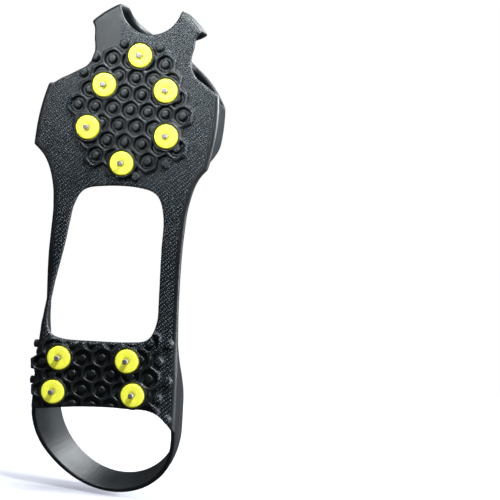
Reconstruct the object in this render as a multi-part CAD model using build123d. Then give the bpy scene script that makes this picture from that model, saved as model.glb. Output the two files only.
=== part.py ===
from build123d import *
import math
import os

# Slip-on ice cleat for a winter boot, shaped as it sits on the boot's sole.
# +Z runs along the foot to the toe, +X across it, and +Y from the tread up into the boot.
# The plane y = 0 is the inner face that lies on the boot's sole. Millimetres throughout.
# The shapes are drawn with z = 0 at the waist and written with z = 0 at the forefoot seat.

SEAT_Z = 83.0  # the middle of the forefoot seat, between its studs

# Rubber sheet and tread
SHEET = 3.0  # thickness of the plates, straps and walls
TREAD = 3.0  # how far the honeycomb stands off the plates
HEX_RIDGE = 1.9  # width of the ridge between two cells
PEG_RADIUS = 2.35  # the peg in the middle of each cell
FOREFOOT_PITCH, HEEL_PITCH = 11.1, 11.9  # from one honeycomb cell to the next in a row
FOREFOOT_CELLS_AT, HEEL_CELLS_AT = (-0.8, 83.0), (0.5, -70.7)  # a cell in each one's row 0
FOREFOOT_ROWS, HEEL_ROWS = range(-4, 5), range(-3, 1)
CELL_COLUMNS = range(-4, 5)
FOREFOOT_TREAD = (37.0, 42.0)  # half width and half length of the oval that its cells fill
HEEL_CELLS_TURN = 3.6  # degrees that the heel's rows climb towards +X
EDGE_PEG_FOOT, EDGE_PEG_TIP = -42.0, -47.0  # pegs that stand out from the heel's left wall, in x
EDGE_PEG_ROWS = [(2.0, -68.5), (8.5, -74.3)]  # each row's height and its first peg's z
EDGE_PEG_STEP, EDGE_PEGS_IN_ROW = 11.5, 3

# Toe form: an upright elliptical wall under an ellipsoid cap
TOE_X, TOE_Z = -2.9, 70.0
TOE_HALF_WIDTH, TOE_HALF_LENGTH = 56.5, 82.5
TOE_TURN = 9.7  # degrees that the long axis turns towards +X
WALL_TOP = 12.0  # where the upright wall ends and the cap begins
CAP_RISE = 49.0  # the ellipsoid's own height
CAP_HEIGHT = 45.5  # how far up the cap is made, past the band's highest edge
CAP_SECTIONS = 9

# Front window between the two prongs, and the side windows
FRONT_X, FRONT_Z, FRONT_RADIUS = 4.6, 149.5, 19.5
NOTCH_MIDDLE = 2.65  # the x that the two side notches mirror about
ARCH_SPRING, ARCH_RISE = 24.0, 20.0  # where its arch begins, and how much higher it ends

# Heel form: a rounded cup, upright at its foot and leaning in above
HEEL_X, HEEL_Z = 2.9, -112.0
HEEL_HALF_WIDTH, HEEL_DEPTH = 46.9, 47.3
HEEL_DRIFT = 0.075  # how far the back of the cup strays to +X for each mm behind HEEL_Z
HEEL_BACK_STEPS = 8
HEEL_UPRIGHT = 22.0  # height of its upright foot
HEEL_FORM_TOP = 56.0
HEEL_LEAN = 10.0  # how far each side has leaned in at the top
RIGHT_CLIMB = [(-50, -1), (-66, 5), (-79, 15), (-90, 27.5)]  # each wall's top edge as it leaves
LEFT_CLIMB = [(-20, -1), (-36, 4.5), (-52, 9), (-78, 24)]  # the strap, as (z, y)

# Flex line across the two waist straps
HINGE_Z = -10.0
HINGE_Y = -SHEET / 2
HINGE_GAP = 0.3
HINGE_NOSES = [(35.4, 12.8), (-38.6, 8.8)]  # each strap's middle in x, and its width there

# Studs: a lemon disc in a boss ring, round a steel pin with a wide flat head
DISC_RADIUS, DISC_HEIGHT, DISC_BEVEL = 7.25, 4.3, 1.0
DISC_DISH_RADIUS, DISC_DISH_DEPTH = 2.9, 0.6
BOSS_RADIUS, BOSS_HEIGHT, BOSS_GAP = 8.7, 3.0, 0.1
PIN_RADIUS, PIN_REACH, PIN_TIP = 1.7, 3.5, 0.4
PIN_CLEARANCE = 0.1
HEAD_RADIUS, HEAD_THICKNESS, HEAD_RECESS = 6.0, 1.2, 0.2

FOREFOOT_STUDS = [(2, 116.5), (-18.5, 96.5), (20.5, 97), (-26, 69.5), (24, 69.5), (-2, 50)]
HEEL_STUDS = [(-28, -74.5), (15.5, -70.5), (-29.5, -96), (21.5, -91)]


def plan_plane(y):
    """The plane at height y whose first axis is +X and second is +Z; its normal is -Y."""
    return Plane(origin=(0, y, 0), x_dir=(1, 0, 0), z_dir=(0, -1, 0))


def side_plane(x):
    """The plane across the foot at x whose first axis is +Z and second is +Y; its normal is -X."""
    return Plane(origin=(x, 0, 0), x_dir=(0, 0, 1), z_dir=(-1, 0, 0))


def smooth_face(points):
    """The region inside one closed smooth curve."""
    return make_face(Wire([Edge.make_spline([Vector(*p) for p in points], periodic=True)]))


def slab(sketch, low, high):
    """A plan region between two heights."""
    return extrude(plan_plane(low) * sketch, amount=low - high)


def side_cutter(sketch, low, high):
    """A region of the side view, cut right across the foot from x = low to x = high."""
    return extrude(side_plane(low) * sketch, amount=low - high)


# Plan outlines
def toe_ellipse(inset=0.0, share=1.0):
    shape = Ellipse((TOE_HALF_WIDTH - inset) * share, (TOE_HALF_LENGTH - inset) * share)
    return Location((TOE_X, TOE_Z)) * Rot(0, 0, -TOE_TURN) * shape


def waist_window():
    return smooth_face([
        (28.3, 0), (27.2, 20), (21.5, 33), (8, 36.3), (-12, 34.8), (-25.5, 30.5), (-31, 17.6),
        (-33.2, -3.3), (-37, -28), (-39.2, -47), (-37, -59), (-28, -62.7), (-8, -61.5),
        (14, -59.3), (26, -56), (30.6, -45), (30.2, -30), (29, -12),
    ])


def side_notch(side):
    """Where a side window bites into the forefoot plate: a rounded bay open to the outside."""
    bay = [(35.5, 135), (31.5, 123.5), (30.8, 115), (34, 108), (40, 103.8), (49, 98.5), (62, 92.5),
           (76, 110), (60, 140)]
    return smooth_face([(side * x + NOTCH_MIDDLE, z) for x, z in bay])


def front_bay():
    bay = Location((FRONT_X, FRONT_Z)) * Circle(FRONT_RADIUS)
    return bay + Location((FRONT_X, FRONT_Z + 15)) * Rectangle(2 * FRONT_RADIUS, 30)


def forefoot_outline():
    """Plate and the two strap roots, before the windows are cut."""
    low = HINGE_Z + SHEET / 2 + HINGE_GAP
    right = Spline((41.5, low), (41.2, 10), (42.2, 30), (47.5, 47.5), (60, 60.5))
    left = Spline((-66, 60), (-52.5, 48.5), (-45.2, 31), (-43.4, 10), (-43, low))
    edges = [right, Line((60, 60.5), (60, 160)), Line((60, 160), (-66, 160)),
             Line((-66, 160), (-66, 60)), left, Line((-43, low), (41.5, low))]
    region = make_face(Wire([e for edge in edges for e in edge.edges()]))
    toe = toe_ellipse() + Location((0, 20)) * Rectangle(140, 64)
    return region & toe


def heel_outline(inset=0.0, lean=0.0):
    """The heel form's plan: the waist straps run down into a rounded cup."""
    wide, deep = HEEL_HALF_WIDTH - inset - lean, HEEL_DEPTH - inset - lean * 0.8
    turns = [math.pi * step / HEEL_BACK_STEPS for step in range(HEEL_BACK_STEPS + 1)]
    back = [(HEEL_X - wide * math.cos(turn) + HEEL_DRIFT * deep * math.sin(turn),
             HEEL_Z - deep * math.sin(turn)) for turn in turns]
    left_top, right_top = (-43 + inset, HINGE_Z), (42 - inset, HINGE_Z)
    right = Spline(back[-1], (47.3 - inset - lean, -76), (43.4 - inset, -38), right_top)
    left = Spline(left_top, (-42.8 + inset, -40), (-44.2 + inset + lean, -78), back[0])
    edges = [Spline(*back), right, Line(right_top, left_top), left]
    return make_face(Wire([e for edge in edges for e in edge.edges()]))


def heel_plate_region():
    """The tread plate's own part of the heel plan, which stops short of the back of the heel."""
    low_edge = Spline((-60, -111), (-41, -108.7), (-11.6, -103.4), (15, -100.8), (38, -102), (60, -124))
    edges = [low_edge, Line((60, -124), (60, 0)), Line((60, 0), (-60, 0)), Line((-60, 0), (-60, -111))]
    return make_face(Wire([e for edge in edges for e in edge.edges()]))


# Side profiles, as (z, y)
def toe_band_profile():
    """What stays of the toe wall and cap, before the side windows: all ahead of a raked rear edge."""
    rear = Spline((56, -1), (59, 6.5), (67, 20), (81, 36), (97, 49.5), (110, 64))
    edges = [rear, Line((110, 64), (160, 64)), Line((160, 64), (160, -1)), Line((160, -1), (56, -1))]
    return make_face(Wire([e for edge in edges for e in edge.edges()]))


def side_window_profile():
    return smooth_face([(97, -6), (92.5, 9), (91.5, 21), (97, 32.5), (109, 42.5), (120, 46.5),
                        (129, 42), (133.5, 27), (134.5, 8), (134, -6), (115, -12)])


def heel_band_profile(climb):
    """The heel wall: its top edge follows climb, and its lower edge lifts off behind the plate."""
    start = climb[0]
    top = Spline(*climb, (-100, 35.5), (-130, 43), (-165, 48.5))
    low = Spline((-165, 21.5), (-145, 14.5), (-128, 6), (-112, 0.5), (-100, -1))
    edges = [top, Line((-165, 48.5), (-165, 21.5)), low, Line((-100, -1), start)]
    return make_face(Wire([e for edge in edges for e in edge.edges()]))


# Rubber forms
def toe_cap(inset):
    """The domed cap over WALL_TOP, lofted through the ellipses of an ellipsoid."""
    rise = CAP_RISE - inset
    sections = []
    for step in range(CAP_SECTIONS + 1):
        height = CAP_HEIGHT * step / CAP_SECTIONS
        share = math.sqrt(1 - (height / rise) ** 2)
        sections.append(plan_plane(WALL_TOP + height) * toe_ellipse(inset, share))
    return loft(sections)


def toe_form(inset):
    """The solid toe form: an elliptical cylinder from the sole to WALL_TOP under the cap."""
    return slab(toe_ellipse(inset), 0, WALL_TOP) + toe_cap(inset)


def toe_walls():
    """Wings, prongs and the ring band over the toe, all cut from one skin of the toe form."""
    skin = toe_form(0) - toe_form(SHEET)
    skin = skin & side_cutter(toe_band_profile(), -80, 80)
    windows = side_cutter(side_window_profile(), 22, 80) + side_cutter(side_window_profile(), -80, -18)
    arch = Location((FRONT_X, ARCH_SPRING)) * Ellipse(FRONT_RADIUS - 1, ARCH_RISE)
    arch = arch + Location((FRONT_X, ARCH_SPRING / 2)) * Rectangle(2 * FRONT_RADIUS, ARCH_SPRING + 0.1)
    across = Plane(origin=(0, 0, 118), x_dir=(1, 0, 0), z_dir=(0, 0, 1))
    return skin - windows - extrude(across * arch, amount=50)


def heel_form(inset):
    """The solid heel form: upright to HEEL_UPRIGHT and leaning in above it."""
    foot, top = heel_outline(inset), heel_outline(inset, HEEL_LEAN)
    upper = loft([plan_plane(HEEL_UPRIGHT) * foot, plan_plane(HEEL_FORM_TOP) * top], ruled=True)
    return slab(foot, 0, HEEL_UPRIGHT) + upper


def heel_walls():
    """The heel band. On the left its wall already starts in the strap, which turns on edge."""
    skin = heel_form(0) - heel_form(SHEET)
    right = skin & side_cutter(heel_band_profile(RIGHT_CLIMB), HEEL_X, 70)
    left = skin & side_cutter(heel_band_profile(LEFT_CLIMB), -70, HEEL_X)
    return right + left


def hex_cells(pitch, rows):
    """Honeycomb places: rows above and below the origin, each one half a cell beside the last."""
    return [((column + row % 2 / 2) * pitch, row * pitch * math.sqrt(3) / 2)
            for row in rows for column in CELL_COLUMNS]


def honeycomb(cells, pitch, placed, studs, ground):
    """Ridges round every cell with a peg in its middle, kept to the ground, open where a stud stands."""
    outer = pitch / math.sqrt(3) + HEX_RIDGE / 2
    inner = pitch / math.sqrt(3) - HEX_RIDGE / 2
    full = Sketch() + [placed * Location(c) * RegularPolygon(outer, 6, rotation=30) for c in cells]
    holes = Sketch() + [placed * Location(c) * RegularPolygon(inner, 6, rotation=30) for c in cells]
    pegs = Sketch() + [placed * Location(c) * Circle(PEG_RADIUS) for c in cells]
    clear = Sketch() + [Location(s) * Circle(BOSS_RADIUS) for s in studs]
    return slab((full - holes + pegs - clear) & ground, -SHEET - TREAD, -SHEET + 0.2)


def bosses(studs):
    ring = Circle(BOSS_RADIUS) - Circle(DISC_RADIUS + BOSS_GAP)
    return [slab(Location(s) * ring, -SHEET - BOSS_HEIGHT, -SHEET + 0.2) for s in studs]


def edge_pegs():
    """The pegs that stand out sideways from the heel's left wall, in rows one above the other."""
    middle, length = (EDGE_PEG_FOOT + EDGE_PEG_TIP) / 2, EDGE_PEG_FOOT - EDGE_PEG_TIP
    return [Pos(middle, y, z - EDGE_PEG_STEP * number) * Rot(0, 90, 0) * Cylinder(PEG_RADIUS, length)
            for y, z in EDGE_PEG_ROWS for number in range(EDGE_PEGS_IN_ROW)]


def stud_holes(studs):
    """Bores for the pins, with a flat pocket for each head in the inner face."""
    bores = [slab(Location(s) * Circle(PIN_RADIUS + PIN_CLEARANCE), -SHEET - 1, 1) for s in studs]
    floor = -HEAD_THICKNESS - HEAD_RECESS
    pockets = [slab(Location(s) * Circle(HEAD_RADIUS + PIN_CLEARANCE), floor, 1) for s in studs]
    return bores + pockets


def forefoot_rubber():
    plan_region = forefoot_outline() - waist_window() - front_bay() - side_notch(1) - side_notch(-1)
    plate = slab(plan_region, -SHEET, 0)
    cells = [cell for cell in hex_cells(FOREFOOT_PITCH, FOREFOOT_ROWS)
             if math.hypot(cell[0] / FOREFOOT_TREAD[0], cell[1] / FOREFOOT_TREAD[1]) < 1]
    tread = honeycomb(cells, FOREFOOT_PITCH, Location(FOREFOOT_CELLS_AT), FOREFOOT_STUDS, plan_region)
    body = plate + toe_walls() + tread + bosses(FOREFOOT_STUDS)
    return body - stud_holes(FOREFOOT_STUDS)


def heel_rubber():
    plan_region = (heel_outline() & heel_plate_region()) - waist_window()
    plate = slab(plan_region, -SHEET, 0)
    nose = [Pos(x, HINGE_Y, HINGE_Z) * Rot(0, 90, 0) * Cylinder(SHEET / 2, width)
            for x, width in HINGE_NOSES]
    cells = hex_cells(HEEL_PITCH, HEEL_ROWS)
    placed = Location(HEEL_CELLS_AT) * Rot(0, 0, HEEL_CELLS_TURN)
    tread = honeycomb(cells, HEEL_PITCH, placed, HEEL_STUDS, plan_region)
    body = plate + nose + heel_walls() + tread + bosses(HEEL_STUDS) + edge_pegs()
    return body - stud_holes(HEEL_STUDS)


# Stud pieces
def disc(x, z):
    """A lemon disc: soft bevelled rim, a shallow dish round the pin."""
    bore = PIN_RADIUS + PIN_CLEARANCE
    top = DISC_HEIGHT
    outline = Polyline((bore, 0), (DISC_RADIUS, 0), (DISC_RADIUS, top - DISC_BEVEL),
                       (DISC_RADIUS - DISC_BEVEL, top), (DISC_DISH_RADIUS, top),
                       (bore, top - DISC_DISH_DEPTH), (bore, 0))
    turned = revolve(Plane.XZ * make_face(outline), Axis.Z)
    return Pos(x, -SHEET, z) * Rot(90, 0, 0) * turned


def pin(x, z):
    """A steel pin: a wide flat head, and a shank that ends past the disc in a broken edge."""
    tip = SHEET + DISC_HEIGHT + PIN_REACH - HEAD_RECESS
    outline = Polyline((0, 0), (HEAD_RADIUS, 0), (HEAD_RADIUS, HEAD_THICKNESS),
                       (PIN_RADIUS, HEAD_THICKNESS), (PIN_RADIUS, tip - PIN_TIP),
                       (PIN_RADIUS - PIN_TIP, tip), (0, tip), (0, 0))
    turned = revolve(Plane.XZ * make_face(outline), Axis.Z)
    return Pos(x, -HEAD_RECESS, z) * Rot(90, 0, 0) * turned


def write(name, shape):
    placed = Pos(0, 0, -SEAT_Z) * shape
    export_step(placed, f"parts/{name}.step")
    print(name, len(placed.solids()), round(placed.volume))


os.makedirs("parts", exist_ok=True)
write("forefoot_rubber", forefoot_rubber())
write("heel_rubber", heel_rubber())
for area, studs in (("forefoot", FOREFOOT_STUDS), ("heel", HEEL_STUDS)):
    for number, (x, z) in enumerate(studs, 1):
        write(f"{area}_disc_{number}", disc(x, z))
        write(f"{area}_pin_{number}", pin(x, z))
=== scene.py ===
import math

import bpy
import numpy as np
import openvdb
from mathutils import Matrix, Vector


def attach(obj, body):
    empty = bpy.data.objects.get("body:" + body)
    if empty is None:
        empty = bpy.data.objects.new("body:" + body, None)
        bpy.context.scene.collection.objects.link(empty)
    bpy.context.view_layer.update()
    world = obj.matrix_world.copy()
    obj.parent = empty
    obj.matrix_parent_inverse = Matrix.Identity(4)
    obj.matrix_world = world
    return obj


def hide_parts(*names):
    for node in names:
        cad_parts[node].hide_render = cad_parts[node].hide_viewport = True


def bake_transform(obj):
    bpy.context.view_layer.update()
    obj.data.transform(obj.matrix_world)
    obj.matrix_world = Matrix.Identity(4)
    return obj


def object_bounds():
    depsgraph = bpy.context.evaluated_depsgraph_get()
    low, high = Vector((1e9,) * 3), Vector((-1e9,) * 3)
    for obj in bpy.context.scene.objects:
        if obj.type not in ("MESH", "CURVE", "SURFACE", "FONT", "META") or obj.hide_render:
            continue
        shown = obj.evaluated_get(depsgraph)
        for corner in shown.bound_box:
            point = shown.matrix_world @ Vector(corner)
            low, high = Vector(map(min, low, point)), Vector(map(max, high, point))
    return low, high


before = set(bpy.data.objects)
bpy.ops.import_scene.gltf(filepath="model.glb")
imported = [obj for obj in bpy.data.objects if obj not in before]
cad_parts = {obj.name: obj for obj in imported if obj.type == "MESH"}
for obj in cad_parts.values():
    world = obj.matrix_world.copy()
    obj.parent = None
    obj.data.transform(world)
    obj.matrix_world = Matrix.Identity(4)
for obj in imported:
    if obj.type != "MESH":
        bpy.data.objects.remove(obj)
cad_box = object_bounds()

# A slip-on ice cleat: one rubber moulding with ten studs. The moulding is drawn as a distance field
# in millimetres, with z = 0 at the waist, and then moved into the row's frame, whose z = 0 is the
# forefoot seat. +Z runs to the toe, +X across the foot, +Y from the tread up into the boot.
MM = 0.001
SEAT_Z = 83.0
VOXEL = 0.6
FIELD_LOW = (-63.5, -8.0, -162.0)
FIELD_HIGH = (58.0, 59.0, 151.0)
# The whole field is cut off at FIELD_CLIP, and a field of loose shapes starts at FAR
FIELD_CLIP = 3.0
FAR = 9.0

# The rubber sheet lies between y = -SHEET, the outer face, and y = 0, the inner face
SHEET = 3.0
SHEET_MIDDLE = -SHEET / 2
ABOVE_SHEET = 1.0
EDGE_ROUND = 1.15

# The folds between the sheet and the walls. The outer fold is rounder along the toe and the heel.
INNER_FOLD = 1.6
OUTER_FOLD = 1.2
TOE_FOLD_EXTRA = 1.2
HEEL_FOLD_EXTRA = 2.2

# The toe's form: an upright elliptical wall under an ellipsoid cap, fading out behind TOE_FORM_REAR
TOE_X = -2.9
TOE_Z = 70.0
TOE_TURN = math.radians(9.7)
TOE_HALF_WIDTH = 56.5
TOE_HALF_LENGTH = 82.5
WALL_TOP = 12.0
CAP_RISE = 49.0
TOE_FORM_REAR = 50.0
TOE_FORM_FADE = 0.8

# The round notch between the prongs, and the arch that it grows into above the sole
FRONT_X = 4.6
FRONT_Z = 149.5
FRONT_RADIUS = 19.5
ARCH_HALF_WIDTH = 19.0
ARCH_SPRING = 24.0
ARCH_RISE = 20.0
ARCH_REAR = 118.0

# The heel cup: a half ellipse that drifts to +X, with a wall that leans in between two heights
HEEL_X = 2.9
HEEL_Z = -112.0
HEEL_HALF_WIDTH = 46.9
HEEL_DEPTH = 47.3
HEEL_DRIFT = 0.075
LEAN_START = 10.0
LEAN_END = 56.0
LEAN_MOST = 10.0
LEAN_POWER = 1.6

# Tread
TREAD_RIDGE_HEIGHT = 2.6
TREAD_PEG_HEIGHT = 3.1
TREAD_ROUND = 0.5
TREAD_MARGIN = 0.8
TREAD_FILLET = 0.7
RIDGE_WIDTH = 1.7
RIDGE_CORNER_POWER = 5
PEG_RADIUS = 2.5

# Studs
DISC_RADIUS = 7.25
DISC_HEIGHT = 4.3
DISC_ROUND = 0.9
DISC_CHAMFER = 0.2
DISH_DEPTH = 0.7
BOSS_RADIUS = 9.1
BOSS_HEIGHT = 3.2
BOSS_GAP = 0.5
BOSS_ROUND = 0.35
PIN_RADIUS = 1.7
PIN_REACH = 3.5
PIN_ROUND = 0.45
PIN_CHAMFER = 0.3
PIN_CLEARANCE = 0.1
HEAD_RADIUS = 6.0
HEAD_THICKNESS = 1.2
HEAD_RECESS = 0.2
HEAD_ROUND = 0.1
# A pin's flat ends reach in to AXIS_HOLE, and its tip has one more ring on the way
AXIS_HOLE = 0.005
TIP_RING = 0.6

# The weave's threads run down to +X, with beads along them. Both spacings are in mm, and the two turns
# are radians of phase per mm of x plus z, and of x less z.
THREAD_SPACING = 1.4
BEAD_SPACING = 2.1
THREAD_TURN = 2 * math.pi / (THREAD_SPACING * math.sqrt(2))
BEAD_TURN = 2 * math.pi / (BEAD_SPACING * math.sqrt(2))


# Small tools for distance fields
def rounded_max(a, b, radius):
    """Intersection of two fields with its outer edge rounded."""
    corner = np.hypot(np.maximum(a + radius, 0), np.maximum(b + radius, 0))
    return np.minimum(np.maximum(a, b), -radius) + corner


def smooth_min(a, b, reach):
    """Union of two fields with a fillet between them."""
    mix = np.maximum(reach - np.abs(a - b), 0) / reach
    return np.minimum(a, b) - mix * mix * reach / 4


def ease(value, start, end):
    """0 before start and 1 past end, smooth between."""
    t = np.clip((value - start) / (end - start), 0, 1)
    return t * t * (3 - 2 * t)


def oval_reach(x, z, oval):
    """0 at the middle of a (middle x, middle z, half width, half length) oval and 1 on its edge."""
    middle_x, middle_z, half_width, half_length = oval
    return np.hypot((x - middle_x) / half_width, (z - middle_z) / half_length)


def curve(points, closed=False, steps=8):
    """Points along the smooth curve through the given ones."""
    p = np.array(points, float)
    if closed:
        before, start, end, after = np.roll(p, 1, 0), p, np.roll(p, -1, 0), np.roll(p, -2, 0)
    else:
        longer = np.vstack([2 * p[0] - p[1], p, 2 * p[-1] - p[-2]])
        before, start, end, after = longer[:-3], longer[1:-2], longer[2:-1], longer[3:]
    t = (np.arange(steps) / steps)[None, :, None]
    before, start, end, after = (q[:, None, :] for q in (before, start, end, after))
    line = 0.5 * (2 * start + (end - before) * t + (2 * before - 5 * start + 4 * end - after) * t**2
                  + (3 * start - 3 * end + after - before) * t**3)
    line = line.reshape(-1, 2)
    return line if closed else np.vstack([line, p[-1]])


def region(a, b, outline):
    """Distance in a plane from the points (a, b) to a closed outline, negative inside."""
    a, b = np.broadcast_arrays(a, b)
    nearest = np.full(a.shape, np.inf)
    inside = np.zeros(a.shape, bool)
    for (a0, b0), (a1, b1) in zip(outline, np.roll(outline, -1, 0)):
        da, db = a1 - a0, b1 - b0
        along = np.clip(((a - a0) * da + (b - b0) * db) / max(da * da + db * db, 1e-9), 0, 1)
        nearest = np.minimum(nearest, (a - a0 - along * da) ** 2 + (b - b0 - along * db) ** 2)
        crosses = (b0 > b) != (b1 > b)
        inside ^= crosses & (a < a0 + (b - b0) * da / (db if db else 1))
    return (np.where(inside, -1, 1) * np.sqrt(nearest)).astype(np.float32)


# Plan outlines, as (x, z). A corner far outside the moulding only closes an outline.
def sole_outline():
    """The whole moulding's outer edge: strap roots, straps and the heel cup, left open past the toe."""
    right = curve([(62, 62), (47.5, 47.5), (42.2, 30), (41.2, 10), (41.6, -10), (43.4, -38),
                   (47.3, -76), (49.8, -112)])
    turn = np.linspace(0, math.pi, 40)[1:-1]
    back = HEEL_DEPTH * np.sin(turn)
    heel = np.column_stack([HEEL_X + HEEL_HALF_WIDTH * np.cos(turn) + HEEL_DRIFT * back, HEEL_Z - back])
    left = curve([(-44, -112), (-44.2, -78), (-42.8, -40), (-43, -10), (-43.4, 10), (-45.2, 31),
                  (-52.5, 48.5), (-68, 61)])
    return np.vstack([right, heel, left, [(-68, 200), (62, 200)]])


WAIST_WINDOW = [(28.3, 0), (27.2, 20), (21.5, 33), (8, 36.3), (-12, 34.8), (-25.5, 30.5), (-31, 17.6),
                (-33.2, -3.3), (-37, -28), (-39.2, -47), (-37, -59), (-28, -62.7), (-8, -61.5),
                (14, -59.3), (26, -56), (30.6, -45), (30.2, -30), (29, -12)]
SIDE_BAY = [(35.5, 135), (31.5, 123.5), (30.8, 115), (34, 108), (40, 103.8), (49, 98.5), (62, 92.5),
            (76, 110), (60, 140)]
SIDE_BAY_MIDDLE = 2.65
HEEL_PLATE_EDGE = [(-60, -111), (-41, -108.7), (-11.6, -103.4), (15, -100.8), (38, -102), (60, -124)]

# Side outlines, as (z, y). The side windows go through the toe wall where it is over
# SIDE_WINDOW_INSET from the band's middle.
BAND_MIDDLE = 2.0
SIDE_WINDOW_INSET = 20.0
TOE_BAND_REAR = [(54, -8), (56, -1), (59, 6.5), (67, 20), (81, 36), (97, 49.5), (110, 64)]
SIDE_WINDOW = [(97, -6), (92.5, 9), (91.5, 21), (97, 32.5), (109, 42.5), (120, 46.5), (129, 42),
               (133.5, 27), (134.5, 8), (134, -6), (115, -12)]
HEEL_BAND_TOP = [(-100, 35.5), (-130, 43), (-165, 48.5)]
HEEL_BAND_LOW = [(-165, 21.5), (-145, 14.5), (-128, 6), (-112, 0.5), (-100, -1)]
RIGHT_CLIMB = [(-44, -3), (-50, -1), (-66, 5), (-79, 15), (-90, 27.5)]
LEFT_CLIMB = [(-14, -3), (-20, -1), (-36, 4.5), (-52, 9), (-78, 24)]

# The left strap turns on edge towards the heel. Its inner edge is given as (z, x).
RIBBON_INNER_EDGE = [(-47, -40.6), (-28, -38.5), (-3.3, -34.7), (17.6, -32.5)]
RIBBON_OUTER_X = -41.9
RIBBON_RISE = 9.5
RIBBON_SIDE = -15.0

# Studs, as (x, z)
STUDS = {
    "forefoot": [(2, 116.5), (-18.5, 96.5), (20.5, 97), (-26, 69.5), (24, 69.5), (-2, 50)],
    "heel": [(-28, -74.5), (15.5, -70.5), (-29.5, -96), (21.5, -91)],
}


# The moulding's parts as fields
def toe_form(x, y, z):
    """Distance to the toe's wall and cap."""
    across = (x - TOE_X) * math.cos(TOE_TURN) - (z - TOE_Z) * math.sin(TOE_TURN)
    along = (x - TOE_X) * math.sin(TOE_TURN) + (z - TOE_Z) * math.cos(TOE_TURN)
    up = np.maximum(y - WALL_TOP, 0)
    size = np.sqrt((across / TOE_HALF_WIDTH) ** 2 + (along / TOE_HALF_LENGTH) ** 2 + (up / CAP_RISE) ** 2)
    slope = np.sqrt((across / TOE_HALF_WIDTH**2) ** 2 + (along / TOE_HALF_LENGTH**2) ** 2
                    + (up / CAP_RISE**2) ** 2)
    distance = size * (size - 1) / np.maximum(slope, 1e-6)
    return distance - TOE_FORM_FADE * np.maximum(TOE_FORM_REAR - z, 0)


def foot_form(x, y, z):
    """The outer form that the moulding wraps: the sole's edge, leaning in over the heel, and the toe."""
    lean = LEAN_MOST * np.clip((y - LEAN_START) / (LEAN_END - LEAN_START), 0, 1) ** LEAN_POWER
    lean = lean * ease(z, -38, -78)
    return np.maximum(region(x, z, sole_outline()) + lean, toe_form(x, y, z))


def plate_kept(x, z):
    """The plate's plan: everything but the windows and bays, and nothing behind the heel plate."""
    bays = [region(x, z, curve([(side * a + SIDE_BAY_MIDDLE, b) for a, b in SIDE_BAY], closed=True))
            for side in (1, -1)]
    front = np.hypot(x - FRONT_X, np.minimum(z - FRONT_Z, 0)) - FRONT_RADIUS
    window = region(x, z, curve(WAIST_WINDOW, closed=True))
    edge = curve(HEEL_PLATE_EDGE)
    behind = region(x, z, np.vstack([edge, [(90, -124), (90, 220), (-90, 220), (-90, -111)]]))
    holes = np.minimum(np.minimum(bays[0], bays[1]), np.minimum(front, window))
    return np.maximum(behind, -holes)


def toe_band_kept(x, y, z):
    """The toe wall's side view, with its side windows and the arch between the prongs."""
    band = region(z, y, np.vstack([curve(TOE_BAND_REAR), [(180, 64), (180, -8)]]))
    window = region(z, y, curve(SIDE_WINDOW, closed=True))
    side = np.maximum(window, SIDE_WINDOW_INSET - np.abs(x - BAND_MIDDLE))
    up = np.maximum(y - ARCH_SPRING, 0)
    arch = np.sqrt(((x - FRONT_X) / ARCH_HALF_WIDTH) ** 2 + (up / ARCH_RISE) ** 2) - 1
    arch = np.maximum(arch * ARCH_HALF_WIDTH, ARCH_REAR - z)
    return np.maximum(band, -np.minimum(side, arch))


def heel_band_kept(x, y, z):
    """The heel wall's side view, which climbs from each strap and leaves the sole behind the plate."""
    sides = [region(z, y, np.vstack([curve(climb + HEEL_BAND_TOP), curve(HEEL_BAND_LOW)]))
             for climb in (RIGHT_CLIMB, LEFT_CLIMB)]
    return np.where(x > HEEL_X, sides[0], sides[1])


def left_strap(x, y, z):
    """The left strap as a ribbon, from its inner edge to an outer edge that rises towards the heel."""
    edge_z, edge_x = zip(*RIBBON_INNER_EDGE)
    across, up = x - np.interp(z, edge_z, edge_x), y - SHEET_MIDDLE
    span = RIBBON_OUTER_X - np.interp(z, edge_z, edge_x)
    rise = RIBBON_RISE * ease(z, -4, -60)
    along = np.clip((across * span + up * rise) / (span**2 + rise**2), 0, 1)
    return np.hypot(across - along * span, up - along * rise) - SHEET / 2


# The tread's cells, in lattice coordinates: one column to the next along a row, then row by row.
# A cell in an odd row stands half a column aside.
FOREFOOT_PITCH = 11.1
FOREFOOT_ROW = 10.0
FOREFOOT_ROW_SHEAR = 0.68
FOREFOOT_CELL_X = -0.8
FOREFOOT_CELL_Z = 83.0
# Ovals as (middle x, middle z, half width, half length)
CELLS_OVAL = (-0.5, 83.0, 37.0, 43.0)
RINGS_OVAL = (-0.5, 81.0, 36.0, 38.0)
TREAD_OVAL = (-0.5, 83.0, 38.0, 43.0)

# The heel's rows run back from a bowed front row, and both spacings change across the heel
HEEL_PITCH = 12.2
HEEL_COLUMN = 12.35
HEEL_COLUMN_SHRINK = 0.008
HEEL_ROW = 10.05
HEEL_ROW_GROWTH = 0.036
HEEL_CELL_X = -0.6
HEEL_CELL_Z = -70.5
HEEL_FRONT_SLOPE = 0.135
HEEL_FRONT_BOW = 0.0018
HEEL_CELLS_X = (-42.0, 45.0)
HEEL_RINGS_END = 33.0


def forefoot_lattice(x, z):
    row = (z - FOREFOOT_CELL_Z) / FOREFOOT_ROW
    return (x - FOREFOOT_CELL_X - FOREFOOT_ROW_SHEAR * row) / FOREFOOT_PITCH, row


def forefoot_place(column, row):
    x = FOREFOOT_PITCH * column + FOREFOOT_ROW_SHEAR * row + FOREFOOT_CELL_X
    return x, FOREFOOT_CELL_Z + FOREFOOT_ROW * row


def heel_lattice(x, z):
    front = HEEL_CELL_Z + HEEL_FRONT_SLOPE * x - HEEL_FRONT_BOW * x**2
    row = (front - z) / (HEEL_ROW + HEEL_ROW_GROWTH * x)
    return (x - HEEL_CELL_X - row) / (HEEL_COLUMN - HEEL_COLUMN_SHRINK * x), row


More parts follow.
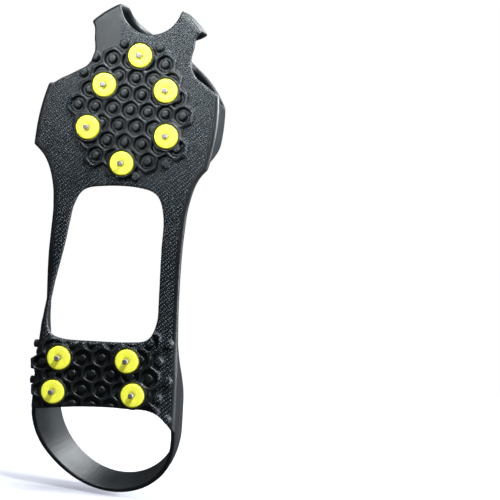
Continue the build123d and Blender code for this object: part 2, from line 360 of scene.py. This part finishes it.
def heel_column_x(column, row):
    return (HEEL_COLUMN * column + HEEL_CELL_X + row) / (1 + HEEL_COLUMN_SHRINK * column)


def honeycomb(column, row, pitch, cells):
    """Fields of the ridges and pegs of (column, row, ringed) cells. A ring is round inside its corners."""
    ridges, pegs = np.full(column.shape, FAR), np.full(column.shape, FAR)
    for cell_column, cell_row, ringed in cells:
        a = (column - cell_column) * pitch
        b = (row - cell_row) * pitch * math.sqrt(3) / 2
        pegs = np.minimum(pegs, np.hypot(a, b) - PEG_RADIUS)
        if ringed:
            slant = b * math.sqrt(3) / 2
            reaches = np.array([np.abs(a), np.abs(a / 2 + slant), np.abs(a / 2 - slant)])
            rounded = (reaches**RIDGE_CORNER_POWER).sum(0) ** (1 / RIDGE_CORNER_POWER)
            outer, inner = reaches.max(0) - (pitch + RIDGE_WIDTH) / 2, (pitch - RIDGE_WIDTH) / 2 - rounded
            ridges = np.minimum(ridges, np.maximum(outer, inner))
    return ridges, pegs


def forefoot_cells():
    cells = []
    for row in range(-4, 5):
        for number in range(-4, 5):
            column = number + row % 2 / 2
            x, z = forefoot_place(column, row)
            if oval_reach(x, z, CELLS_OVAL) < 1:
                cells.append((column, row, oval_reach(x, z, RINGS_OVAL) < 1))
    return cells


def heel_cells():
    cells = []
    for row in range(-1, 4):
        for number in range(-4, 5):
            column = number + row % 2 / 2
            x = heel_column_x(column, row)
            if HEEL_CELLS_X[0] < x < HEEL_CELLS_X[1]:
                cells.append((column, row, x < HEEL_RINGS_END))
    return cells


def tread(x, y, z):
    """Everything that stands off the plates: ridges, pegs and boss rings."""
    plan_x, plan_z = np.broadcast_arrays(x, z)
    front_ridges, front_pegs = honeycomb(*forefoot_lattice(plan_x, plan_z), FOREFOOT_PITCH, forefoot_cells())
    back_ridges, back_pegs = honeycomb(*heel_lattice(plan_x, plan_z), HEEL_PITCH, heel_cells())
    ridges = np.where(plan_z > 0, front_ridges, back_ridges)
    pegs = np.where(plan_z > 0, front_pegs, back_pegs)
    boss, clear = np.full(plan_x.shape, FAR), np.full(plan_x.shape, FAR)
    for stud_x, stud_z in STUDS["forefoot"] + STUDS["heel"]:
        radius = np.hypot(plan_x - stud_x, plan_z - stud_z)
        boss = np.minimum(boss, np.maximum(radius - BOSS_RADIUS, DISC_RADIUS + BOSS_GAP - radius))
        clear = np.minimum(clear, radius - BOSS_RADIUS)
    ridges, pegs = np.maximum(ridges, -clear), np.maximum(pegs, -clear)
    edge = plate_kept(x, z) + TREAD_MARGIN
    ridges, pegs = np.maximum(ridges, edge), np.maximum(pegs, edge)
    low = -y - SHEET
    made = rounded_max(ridges, low - TREAD_RIDGE_HEIGHT, TREAD_ROUND)
    made = np.minimum(made, rounded_max(pegs, low - TREAD_PEG_HEIGHT, TREAD_ROUND))
    return np.minimum(made, rounded_max(boss, low - BOSS_HEIGHT, BOSS_ROUND))


# Pegs on the heel's left wall, as (y, z), and the x between which they stand
EDGE_PEGS = [(2.0, z) for z in (-68.5, -80, -91.5)] + [(8.5, z) for z in (-74.3, -85.8, -97.3)]
EDGE_PEG_TIP = -47.0
EDGE_PEG_ROOT = -42.0
EDGE_PEG_ROOT_ROUND = 0.3


def edge_pegs(x, y, z):
    """Pegs that stand out sideways from the heel's left wall."""
    pegs = np.full(np.broadcast_shapes(y.shape, z.shape), FAR)
    for peg_y, peg_z in EDGE_PEGS:
        pegs = np.minimum(pegs, np.hypot(y - peg_y, z - peg_z) - PEG_RADIUS)
    pegs = rounded_max(pegs, EDGE_PEG_TIP - x, TREAD_ROUND)
    return rounded_max(pegs, x - EDGE_PEG_ROOT, EDGE_PEG_ROOT_ROUND)


def stud_pockets(x, y, z):
    """The bores for the pins and the flat pockets for their heads, in the inner face."""
    radius = np.full(np.broadcast_shapes(x.shape, z.shape), FAR)
    for stud_x, stud_z in STUDS["forefoot"] + STUDS["heel"]:
        radius = np.minimum(radius, np.hypot(x - stud_x, z - stud_z))
    head = np.maximum(radius - HEAD_RADIUS - PIN_CLEARANCE, -HEAD_THICKNESS - HEAD_RECESS - y)
    return np.maximum(np.minimum(head, radius - PIN_RADIUS - PIN_CLEARANCE), y - ABOVE_SHEET)


def moulding(x, y, z):
    """The whole rubber moulding."""
    form = foot_form(x, y, z)
    extra = np.maximum(TOE_FOLD_EXTRA * ease(z, 50, 66), HEEL_FOLD_EXTRA * ease(z, -35, -65))
    outside = rounded_max(form, -SHEET - y, OUTER_FOLD + extra)
    inside = rounded_max(form + SHEET, -y, INNER_FOLD)
    shell = np.maximum(outside, -inside)
    plate = np.maximum(plate_kept(x, z), y - ABOVE_SHEET)
    walls = np.where(z > 0, toe_band_kept(x, y, z), heel_band_kept(x, y, z))
    walls = np.maximum(walls, -(form + SHEET + ABOVE_SHEET))
    body = rounded_max(shell, np.minimum(plate, walls), EDGE_ROUND)
    ribbon = ease(z, 24, 12) * ease(z, -56, -46) * (x < RIBBON_SIDE)
    body = body * (1 - ribbon) + left_strap(x, y, z) * ribbon
    body = smooth_min(body, np.maximum(tread(x, y, z), y - SHEET_MIDDLE), TREAD_FILLET)
    body = smooth_min(body, edge_pegs(x, y, z), TREAD_FILLET)
    return np.maximum(body, -stud_pockets(x, y, z))


def axes():
    """The field's grid lines, shaped so that they spread into a grid."""
    lines = [np.arange(low, high, VOXEL, dtype=np.float32) for low, high in zip(FIELD_LOW, FIELD_HIGH)]
    return lines[0][:, None, None], lines[1][None, :, None], lines[2][None, None, :]


def to_row(points):
    """Drawing millimetres to the row frame's metres."""
    return (np.asarray(points, float) - (0, 0, SEAT_Z)) * MM


# How much of the weave is lost at the wings' ends
WING_END_WEAR = 0.75


def weave_cover(x, y, z):
    """How much of the moulded weave shows: on the plates' outer face, but not in the tread."""
    outer_face = ease(y, -2.2, -2.8) * ease(foot_form(x, y, z), -2.5, -4.5)
    round_forefoot_tread = ease(oval_reach(x, z, TREAD_OVAL), 0.94, 1.02)
    round_heel_tread = np.maximum(ease(z, -66, -60), ease(x, 33, 38))
    left_prong = ease(x, -8, -14) * ease(z, 108, 116)
    wing_ends = ease(np.abs(x), 46, 53) * ease(z, 40, 60)
    cover = outer_face * np.where(z > 0, round_forefoot_tread, round_heel_tread)
    return cover * (1 - left_prong) * (1 - WING_END_WEAR * wing_ends)


def painted_recess_shade(x, y, z):
    """Where the plate lies between the tread's ridges and pegs: the mask of the painted shade there, which
    also makes it rougher.
    """
    in_forefoot_tread = ease(oval_reach(x, z, TREAD_OVAL), 1.0, 0.92)
    in_heel_tread = ease(z, -60, -66) * ease(x, 36, 32)
    near_plate = ease(y, -5.2, -3.6) * ease(y, -1.5, -2.5)
    return near_plate * np.where(z > 0, in_forefoot_tread, in_heel_tread)


def build_rubber():
    """The moulding's mesh, with its undeformed place and the two masks stored for its material."""
    field = np.clip(moulding(*axes()), -FIELD_CLIP, FIELD_CLIP).astype(np.float32)
    grid = openvdb.FloatGrid(FIELD_CLIP)
    grid.copyFromArray(field)
    points, triangles, quads = grid.convertToPolygons(0.0, 0.0)
    points = points * VOXEL + FIELD_LOW
    mesh = bpy.data.meshes.new("rubber_moulding")
    mesh.from_pydata(to_row(points).tolist(), [], triangles.tolist() + quads.tolist())
    mesh.update()
    rest = mesh.attributes.new("rest_mm", "FLOAT_VECTOR", "POINT")
    rest.data.foreach_set("vector", points.astype(np.float32).ravel())
    for name, shade in (("weave_cover", weave_cover), ("painted_recess_shade", painted_recess_shade)):
        amount = mesh.attributes.new(name, "FLOAT", "POINT")
        amount.data.foreach_set("value", shade(*points.T).astype(np.float32))
    mesh.polygons.foreach_set("use_smooth", [True] * len(mesh.polygons))
    piece = bpy.data.objects.new("rubber_moulding", mesh)
    bpy.context.scene.collection.objects.link(piece)
    return piece


# Materials
class Shader:
    """A new material's node tree, with short ways to add nodes to it."""

    def __init__(self, name):
        self.material = bpy.data.materials.new(name)
        self.material.use_nodes = True
        self.nodes, self.links = self.material.node_tree.nodes, self.material.node_tree.links
        self.surface = self.nodes["Principled BSDF"]

    def put(self, value, socket):
        if isinstance(value, bpy.types.NodeSocket):
            self.links.new(value, socket)
        else:
            socket.default_value = value

    def math(self, operation, *values):
        node = self.nodes.new("ShaderNodeMath")
        node.operation = operation
        for value, socket in zip(values, node.inputs):
            self.put(value, socket)
        return node.outputs[0]

    def attribute(self, name, output):
        node = self.nodes.new("ShaderNodeAttribute")
        node.attribute_name = name
        return node.outputs[output]

    def object_place(self):
        return self.nodes.new("ShaderNodeTexCoord").outputs["Object"]

    def noise(self, place, scale, detail=2.0):
        node = self.nodes.new("ShaderNodeTexNoise")
        self.put(place, node.inputs["Vector"])
        self.put(scale, node.inputs["Scale"])
        self.put(detail, node.inputs["Detail"])
        return node.outputs["Fac"]

    def between(self, value, low, high, start=0.0, end=1.0):
        """A value's stretch from low to high, spread smoothly over start to end."""
        node = self.nodes.new("ShaderNodeMapRange")
        node.interpolation_type = "SMOOTHSTEP"
        for amount, socket in zip((value, low, high, start, end), node.inputs):
            self.put(amount, socket)
        return node.outputs[0]

    def mix(self, share, first, second):
        node = self.nodes.new("ShaderNodeMix")
        node.data_type = "RGBA"
        self.put(share, node.inputs["Factor"])
        self.put(first, node.inputs[6])
        self.put(second, node.inputs[7])
        return node.outputs[2]

    def bump(self, height, metres):
        node = self.nodes.new("ShaderNodeBump")
        node.inputs["Distance"].default_value = metres
        self.put(height, node.inputs["Height"])
        self.put(node.outputs[0], self.surface.inputs["Normal"])


RUBBER_SHADES = (0.0035, 0.0057, 0.0068, 1), (0.0065, 0.0098, 0.0115, 1)
# The beads' light bluish colour is a painted highlight. Their relief is real and comes from the bump
RUBBER_BEAD_PAINTED_HIGHLIGHT = (0.095, 0.130, 0.170, 1)
# Painted shade: the near-black colour that the plate between the tread's ridges and pegs is mixed towards,
# and how far
RUBBER_PAINTED_SHADE = (0.003, 0.0035, 0.004, 1)
PAINTED_SHADE_SHARE = 0.25
WEAVE_WANDER = 6.0
RECESS_ROUGHNESS = 0.25
GRAIN_ROUGHNESS = 0.10
# The weave's depth in metres, and the grain's as a share of it
WEAVE_DEPTH = 0.0011
GRAIN_DEPTH = 0.10


def weave_beads(shader, place):
    """1 on the beads of the weave's slanting threads and 0 between, with some beads worn away. It places the
    beads' moulded relief and their painted highlight colour.
    """
    split = shader.nodes.new("ShaderNodeSeparateXYZ")
    shader.put(place, split.inputs[0])
    wander = shader.math("MULTIPLY", shader.noise(place, 0.5), WEAVE_WANDER)
    waves = []
    for operation, turn in (("ADD", THREAD_TURN), ("SUBTRACT", BEAD_TURN)):
        slant = shader.math(operation, split.outputs["X"], split.outputs["Z"])
        phase = shader.math("ADD", shader.math("MULTIPLY", slant, turn), wander)
        waves.append(shader.math("SINE", phase))
    thread, bead = shader.between(waves[0], -0.3, 0.8), shader.between(waves[1], -0.6, 0.8)
    unworn = shader.between(shader.noise(place, 0.8), 0.25, 0.55)
    return shader.math("MULTIPLY", shader.math("MULTIPLY", thread, bead), unworn)


def rubber_material():
    """Satin charcoal rubber with a fine slanting weave moulded into its flat outer faces. The weave's beads
    are painted lighter, as highlights, and the plate between the tread's ridges and pegs is painted darker,
    as shade.
    """
    shader = Shader("moulded_rubber")
    place = shader.attribute("rest_mm", "Vector")
    weave = shader.math("MULTIPLY", weave_beads(shader, place), shader.attribute("weave_cover", "Fac"))
    grain = shader.noise(place, 1.6, 4.0)
    cloud = shader.noise(place, 0.05, 3.0)
    # Painted shade: the plate between the tread's ridges and pegs is mixed towards near black, and made
    # rougher
    recess_shade = shader.math("MULTIPLY", shader.attribute("painted_recess_shade", "Fac"), PAINTED_SHADE_SHARE)
    # Painted highlight: the weave's beads are coloured light bluish over the charcoal
    woven = shader.mix(weave, shader.mix(cloud, *RUBBER_SHADES), RUBBER_BEAD_PAINTED_HIGHLIGHT)
    shader.put(shader.mix(recess_shade, woven, RUBBER_PAINTED_SHADE), shader.surface.inputs["Base Color"])
    rough = shader.between(cloud, 0.3, 0.7, 0.34, 0.42)
    rough = shader.math("ADD", rough, shader.math("MULTIPLY", grain, GRAIN_ROUGHNESS))
    rough = shader.math("ADD", rough, shader.math("MULTIPLY", recess_shade, RECESS_ROUGHNESS))
    shader.put(rough, shader.surface.inputs["Roughness"])
    shader.surface.inputs["Specular IOR Level"].default_value = 0.55
    shader.bump(shader.math("ADD", weave, shader.math("MULTIPLY", grain, GRAIN_DEPTH)), WEAVE_DEPTH)
    return shader.material


LEMON_SHADES = (0.90, 0.92, 0.06, 1), (0.98, 0.97, 0.12, 1)
# The discs' glow is painted light: the plastic is no lamp, and its glow keeps the discs bright where the
# lamps reach them less, as at the heel
LEMON_PAINTED_GLOW = (0.85, 0.85, 0.05, 1)
PAINTED_GLOW_STRENGTH = 0.32
SCUFF_DEPTH = 0.00005


def lemon_material():
    """Glossy lemon plastic, a little uneven in tone, with fine scuffs and a slight painted glow that
    lightens it as a lamp would.
    """
    shader = Shader("lemon_plastic")
    place = shader.object_place()
    scuffs = shader.noise(place, 1500.0, 4.0)
    tone = shader.noise(place, 160.0, 3.0)
    shader.put(shader.mix(tone, *LEMON_SHADES), shader.surface.inputs["Base Color"])
    shader.put(shader.between(scuffs, 0.35, 0.75, 0.30, 0.55), shader.surface.inputs["Roughness"])
    shader.surface.inputs["Emission Color"].default_value = LEMON_PAINTED_GLOW
    shader.surface.inputs["Emission Strength"].default_value = PAINTED_GLOW_STRENGTH
    shader.bump(scuffs, SCUFF_DEPTH)
    return shader.material


STEEL_SHADES = (0.20, 0.185, 0.17, 1), (0.42, 0.39, 0.36, 1)
SCRATCH_DEPTH = 0.00006


def steel_material():
    """Dull warm steel, scratched by use."""
    shader = Shader("bright_steel")
    scratches = shader.noise(shader.object_place(), 2200.0, 5.0)
    shader.put(shader.mix(scratches, *STEEL_SHADES), shader.surface.inputs["Base Color"])
    shader.put(shader.between(scratches, 0.3, 0.7, 0.28, 0.5), shader.surface.inputs["Roughness"])
    shader.surface.inputs["Metallic"].default_value = 0.6
    shader.bump(scratches, SCRATCH_DEPTH)
    return shader.material


# Turned pieces
SHARP_ANGLE = math.radians(35)


def lathe(name, profile, to_place, material, turns):
    """A piece turned from (radius, height) points. to_place puts (across, across, height) in metres."""
    vertices, faces = [], []
    for radius, height in profile:
        for turn in range(turns):
            angle = 2 * math.pi * turn / turns
            vertices.append(to_place(radius * math.cos(angle), radius * math.sin(angle), height))
    for ring in range(len(profile) - 1):
        for turn in range(turns):
            after = (turn + 1) % turns
            low, high = ring * turns, (ring + 1) * turns
            faces.append((low + turn, low + after, high + after, high + turn))
    mesh = bpy.data.meshes.new(name)
    mesh.from_pydata(vertices, [], faces)
    mesh.polygons.foreach_set("use_smooth", [True] * len(mesh.polygons))
    mesh.set_sharp_from_angle(angle=SHARP_ANGLE)
    mesh.materials.append(material)
    piece = bpy.data.objects.new(name, mesh)
    bpy.context.scene.collection.objects.link(piece)
    return piece


def corner(radius, height, turn_radius, steps):
    """The rounded outer top corner of a lathe profile, from its side to its top."""
    turns = [math.pi / 2 * step / steps for step in range(steps + 1)]
    return [(radius - turn_radius * (1 - math.cos(turn)), height - turn_radius * (1 - math.sin(turn)))
            for turn in turns]


def low_corner(radius, height, turn_radius, steps):
    """The rounded outer bottom corner of a lathe profile, from its underside to its side."""
    return [(r, 2 * height - h) for r, h in reversed(corner(radius, height, turn_radius, steps))]


def on_tread(x, z):
    """Places a lathe piece at a stud, with its height running out along -Y."""
    return lambda a, b, height: tuple(to_row((x + a, -height, z + b)))


# Studs
DISC_BORE = PIN_RADIUS + PIN_CLEARANCE
DISC_TOP = SHEET + DISC_HEIGHT
# The shallow dish round the pin, as (radius, depth below the disc's top)
DISH = [(3.1, 0.0), (2.8, 0.08), (2.2, 0.5), (DISC_BORE, DISH_DEPTH)]


def build_disc(area, number, place, material):
    profile = [(DISC_BORE, SHEET), (DISC_RADIUS - DISC_CHAMFER, SHEET), (DISC_RADIUS, SHEET + DISC_CHAMFER)]
    profile += corner(DISC_RADIUS, DISC_TOP, DISC_ROUND, 6)
    profile += [(radius, DISC_TOP - depth) for radius, depth in DISH] + [(DISC_BORE, SHEET)]
    piece = lathe(f"{area}_stud_disc_{number}", profile, on_tread(*place), material, 64)
    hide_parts(f"{area}_disc_{number}")
    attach(piece, area)


def build_pin(area, number, place, material):
    tip, head_top = DISC_TOP + PIN_REACH, HEAD_RECESS + HEAD_THICKNESS
    profile = [(AXIS_HOLE, HEAD_RECESS)] + low_corner(HEAD_RADIUS, HEAD_RECESS, HEAD_ROUND, 2)
    profile += [(HEAD_RADIUS, head_top), (PIN_RADIUS + PIN_CHAMFER, head_top)]
    profile += [(PIN_RADIUS, head_top + PIN_CHAMFER)] + corner(PIN_RADIUS, tip, PIN_ROUND, 4)
    profile += [(TIP_RING, tip), (AXIS_HOLE, tip)]
    piece = lathe(f"{area}_stud_pin_{number}", profile, on_tread(*place), material, 48)
    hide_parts(f"{area}_pin_{number}")
    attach(piece, area)


# Stage, in metres
FLOOR_GAP = 0.002
FLOOR_RADII = (0.001, 0.3, 3.0)
FLOOR_SHADES = (0.34, 0.34, 0.36, 1), (0.37, 0.37, 0.38, 1)
# Painted light: the floor's dim lavender glow near the object, which gives its shadows their tint
FLOOR_GLOW = (0.40, 0.41, 0.48, 1)
DOME_RADIUS = 6.0
DOME_STEP = 6
BLACK = (0, 0, 0, 1)
WHITE = (1, 1, 1, 1)
WORLD_COLOUR = (0.9, 0.93, 1, 1)
WORLD_STRENGTH = 0.09


def floor_material():
    """A pale floor that turns plain white away from the object, so that no horizon shows. Near the object it
    glows a dim lavender, a painted light that is all that shows in its shadows.
    """
    shader = Shader("pale_floor")
    place = shader.object_place()
    split = shader.nodes.new("ShaderNodeSeparateXYZ")
    shader.put(place, split.inputs[0])
    squares = [shader.math("POWER", split.outputs[axis], 2.0) for axis in ("X", "Y")]
    away = shader.between(shader.math("SQRT", shader.math("ADD", *squares)), 0.2, 0.9)
    near = shader.mix(shader.noise(place, 30.0), *FLOOR_SHADES)
    shader.put(shader.mix(away, near, BLACK), shader.surface.inputs["Base Color"])
    shader.put(shader.mix(away, FLOOR_GLOW, WHITE), shader.surface.inputs["Emission Color"])
    shader.surface.inputs["Emission Strength"].default_value = 1
    shader.surface.inputs["Roughness"].default_value = 1
    shader.surface.inputs["Specular IOR Level"].default_value = 0
    return shader.material


def backdrop_material():
    """Plain white that lights itself and takes no other light."""
    shader = Shader("white_backdrop")
    shader.surface.inputs["Base Color"].default_value = BLACK
    shader.surface.inputs["Specular IOR Level"].default_value = 0
    shader.surface.inputs["Emission Color"].default_value = WHITE
    shader.surface.inputs["Emission Strength"].default_value = 1
    return shader.material


def upright(a, b, height):
    """Places a lathe piece on the Z axis."""
    return a, b, height


def build_stage():
    """Floor, dome and a dim world. Floor and dome are seen, but don't light or mirror in the object."""
    floor_z = cad_box[0].z - FLOOR_GAP
    floor = lathe("floor", [(radius, floor_z) for radius in FLOOR_RADII], upright, floor_material(), 96)
    turns = [math.radians(degrees) for degrees in range(-89, 90, DOME_STEP)]
    arc = [(DOME_RADIUS * math.cos(turn), DOME_RADIUS * math.sin(turn)) for turn in turns]
    dome = lathe("backdrop", arc, upright, backdrop_material(), 48)
    for surface in (floor, dome):
        surface.visible_diffuse = False
        surface.visible_glossy = False
    dome.visible_shadow = False
    world = bpy.data.worlds.new("soft_room")
    world.use_nodes = True
    world.node_tree.nodes["Background"].inputs["Color"].default_value = WORLD_COLOUR
    world.node_tree.nodes["Background"].inputs["Strength"].default_value = WORLD_STRENGTH
    bpy.context.scene.world = world
    bpy.context.scene.view_settings.view_transform = "Standard"


LIGHT_COLOUR = (0.92, 0.97, 1)
SPOT_SOURCE = 0.05
SPOT_BLEND = 0.6


def hang_lamp(light, place, aim):
    light.color = LIGHT_COLOUR
    lamp = bpy.data.objects.new(light.name, light)
    lamp.location = place
    lamp.rotation_euler = (Vector(aim) - Vector(place)).to_track_quat("-Z", "Y").to_euler()
    bpy.context.scene.collection.objects.link(lamp)


def area_light(name, place, aim, size, power):
    """A round lamp, size across."""
    light = bpy.data.lights.new(name, "AREA")
    light.shape = "DISK"
    light.size = size
    light.energy = power
    hang_lamp(light, place, aim)


def spot_light(name, place, aim, reach, power):
    """A soft-edged beam that lights a round patch of the given reach at its aim."""
    light = bpy.data.lights.new(name, "SPOT")
    light.shadow_soft_size = SPOT_SOURCE
    light.spot_blend = SPOT_BLEND
    light.spot_size = 2 * math.atan(reach / (Vector(aim) - Vector(place)).length)
    light.energy = power
    hang_lamp(light, place, aim)


# The view looks at the tread from a little to the right and above, tilted so that the toe leans right.
# The aim point is off the middle of the view by these shares of its width, left and up.
VIEW_AZIMUTH = math.radians(15)
VIEW_ELEVATION = math.radians(4)
VIEW_ROLL = math.radians(6.5)
VIEW_DISTANCE = 1.0
VIEW_AIM = (8.4, 0, 0)
AIM_LEFT = 0.238
AIM_UP = 0.008
LENS = 116.35
SENSOR = 36.0


def build_camera():
    """A camera that looks along -back, turned until the aim point has its place in the view."""
    flat = math.cos(VIEW_ELEVATION)
    back = Vector((math.sin(VIEW_AZIMUTH) * flat, -math.cos(VIEW_AZIMUTH) * flat, math.sin(VIEW_ELEVATION)))
    level = (-back).to_track_quat("-Z", "Y").to_matrix()
    tilted = level @ Matrix.Rotation(VIEW_ROLL, 3, "Z")
    off_centre = Vector((-AIM_LEFT * SENSOR, AIM_UP * SENSOR, -LENS)).normalized()
    turn = (tilted @ off_centre).rotation_difference(-back)
    camera = bpy.data.cameras.new("camera")
    camera.lens = LENS
    camera.sensor_width = SENSOR
    stand = bpy.data.objects.new("camera", camera)
    stand.rotation_mode = "QUATERNION"
    stand.location = Vector(to_row(VIEW_AIM)) + back * VIEW_DISTANCE
    stand.rotation_quaternion = (turn.to_matrix() @ tilted).to_quaternion()
    bpy.context.scene.collection.objects.link(stand)
    bpy.context.scene.camera = stand


rubber = build_rubber()
rubber.data.materials.append(rubber_material())
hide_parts("forefoot_rubber", "heel_rubber")
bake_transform(rubber)

lemon, steel = lemon_material(), steel_material()
for area, places in STUDS.items():
    for number, place in enumerate(places, 1):
        build_disc(area, number, place, lemon)
        build_pin(area, number, place, steel)

build_stage()
area_light("key", (0.42, -0.55, 0.75), (0, 0, -0.02), 0.16, 15)
spot_light("sheen", (-0.28, -1.0, 0.42), (0.005, 0, 0.075), 0.125, 58)
area_light("side", (0.95, 0.08, 0.2), (0, 0, -0.06), 0.4, 30)
area_light("top", (0, -0.1, 1.3), (0, 0, 0), 0.8, 16)
area_light("back", (0.6, 1.1, 0.75), (0, 0, -0.08), 0.8, 20)
build_camera()
